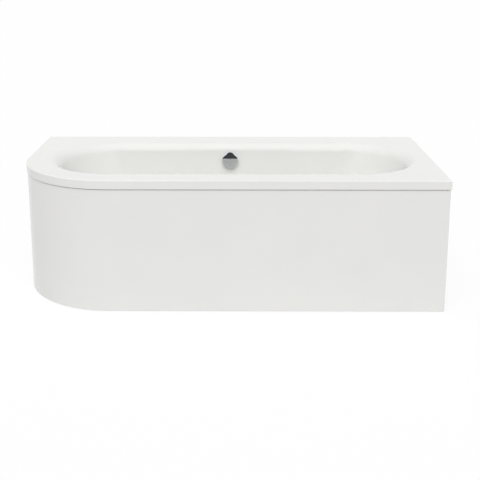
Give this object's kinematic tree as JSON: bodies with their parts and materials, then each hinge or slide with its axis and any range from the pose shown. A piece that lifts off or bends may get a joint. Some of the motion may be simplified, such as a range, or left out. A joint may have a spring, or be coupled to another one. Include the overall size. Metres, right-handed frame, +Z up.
{
  "type": "corner bathtub",
  "caption": "White acrylic corner bathtub with a flat rim, a long oval basin, one rounded corner, a curved apron panel and a knob-driven pop-up waste.",
  "frame": {"origin": "on the floor, under the middle of the bath's length and width", "axes": "+X along the bath towards its square right end, +Y towards the wall behind it, +Z up"},
  "size_m": [1.7, 0.8, 0.536],
  "materials": {
    "acrylic": "glossy white thermoformed acrylic",
    "glass_fibre": "sprayed chopped glass fibre in resin",
    "board": "chipboard under a thin coat of resin",
    "batten": "sawn plywood under a thin coat of resin",
    "clip_plastic": "moulded nylon",
    "zinc_steel": "zinc plated",
    "galvanised_steel": "galvanised sheet, spangled",
    "chrome": "mirror chrome",
    "rubber": "moulded rubber",
    "pipe_plastic": "moulded white polypropylene",
    "nut_plastic": "moulded dark grey polypropylene",
    "spindle_brass": "turned brass",
    "cable_sheath": "smooth plastic sheath over a steel cable",
    "foot_plastic": "moulded black polyamide"
  },
  "bodies": {
    "bath": {"tub_shell": "acrylic", "glass_fibre_coat": "glass_fibre", "base_board": "board", "front_batten": "batten", "left_batten": "batten", "back_batten": "batten", "right_batten": "batten", "corner_batten": "batten", "apron_panel": "acrylic", "panel_clips": "clip_plastic", "clip_screws": "zinc_steel", "left_rail": "galvanised_steel", "right_rail": "galvanised_steel", "rail_screws": "zinc_steel", "rail_nuts": "zinc_steel", "lock_nuts": "zinc_steel", "panel_brackets": "galvanised_steel", "bracket_screws": "zinc_steel", "overflow_face": "chrome", "overflow_gasket": "rubber", "overflow_body": "pipe_plastic", "overflow_pipe": "pipe_plastic", "pull_cable": "cable_sheath", "overflow_nut": "nut_plastic", "inlet_nut": "nut_plastic", "cable_clips": "nut_plastic", "waste_flange": "chrome", "waste_gasket": "rubber", "waste_body": "pipe_plastic", "trap_body": "pipe_plastic", "trap_nut": "nut_plastic", "outlet_nut": "nut_plastic", "outlet_pipe": "pipe_plastic"},
    "knob": {"overflow_knob": "chrome", "knob_spindle": "spindle_brass"},
    "plug": {"waste_plug": "chrome", "plug_seal": "rubber"},
    "foot_1": {"foot_pad_1": "foot_plastic"},
    "rod_1": {"foot_rod_1": "zinc_steel"},
    "foot_2": {"foot_pad_2": "foot_plastic"},
    "rod_2": {"foot_rod_2": "zinc_steel"},
    "foot_3": {"foot_pad_3": "foot_plastic"},
    "rod_3": {"foot_rod_3": "zinc_steel"},
    "foot_4": {"foot_pad_4": "foot_plastic"},
    "rod_4": {"foot_rod_4": "zinc_steel"}
  },
  "joints": [
    {"name": "knob_turn", "type": "hinge", "parent": "bath", "child": "knob", "pos_m": [0, 0.22121, 0.468], "axis": [0, -0.9876, 0.1567], "range_deg": [0, 90]},
    {"name": "plug_lift", "type": "slide", "parent": "bath", "child": "plug", "axis": [0, 0, 1], "range_m": [0, 0.01]},
    {"name": "foot_1_height", "type": "slide", "parent": "bath", "child": "foot_1", "axis": [0, 0, -1], "range_m": [-0.004, 0.02]},
    {"name": "rod_1_spin", "type": "hinge", "parent": "foot_1", "child": "rod_1", "pos_m": [-0.362, -0.29, 0.03], "axis": [0, 0, 1], "range_deg": [-823.9, 4115.3]},
    {"name": "foot_2_height", "type": "slide", "parent": "bath", "child": "foot_2", "axis": [0, 0, -1], "range_m": [-0.004, 0.02]},
    {"name": "rod_2_spin", "type": "hinge", "parent": "foot_2", "child": "rod_2", "pos_m": [-0.362, 0.29, 0.03], "axis": [0, 0, 1], "range_deg": [-823.9, 4115.3]},
    {"name": "foot_3_height", "type": "slide", "parent": "bath", "child": "foot_3", "axis": [0, 0, -1], "range_m": [-0.004, 0.02]},
    {"name": "rod_3_spin", "type": "hinge", "parent": "foot_3", "child": "rod_3", "pos_m": [0.398, -0.29, 0.03], "axis": [0, 0, 1], "range_deg": [-823.9, 4115.3]},
    {"name": "foot_4_height", "type": "slide", "parent": "bath", "child": "foot_4", "axis": [0, 0, -1], "range_m": [-0.004, 0.02]},
    {"name": "rod_4_spin", "type": "hinge", "parent": "foot_4", "child": "rod_4", "pos_m": [0.398, 0.29, 0.03], "axis": [0, 0, 1], "range_deg": [-823.9, 4115.3]}
  ],
  "couplings": [
    {"joint": "plug_lift", "follows": "knob_turn", "m_per_rad": 0.0063025},
    {"joint": "rod_1_spin", "follows": "foot_1_height", "rad_per_m": 3590.4},
    {"joint": "rod_2_spin", "follows": "foot_2_height", "rad_per_m": 3590.4},
    {"joint": "rod_3_spin", "follows": "foot_3_height", "rad_per_m": 3590.4},
    {"joint": "rod_4_spin", "follows": "foot_4_height", "rad_per_m": 3590.4}
  ]
}
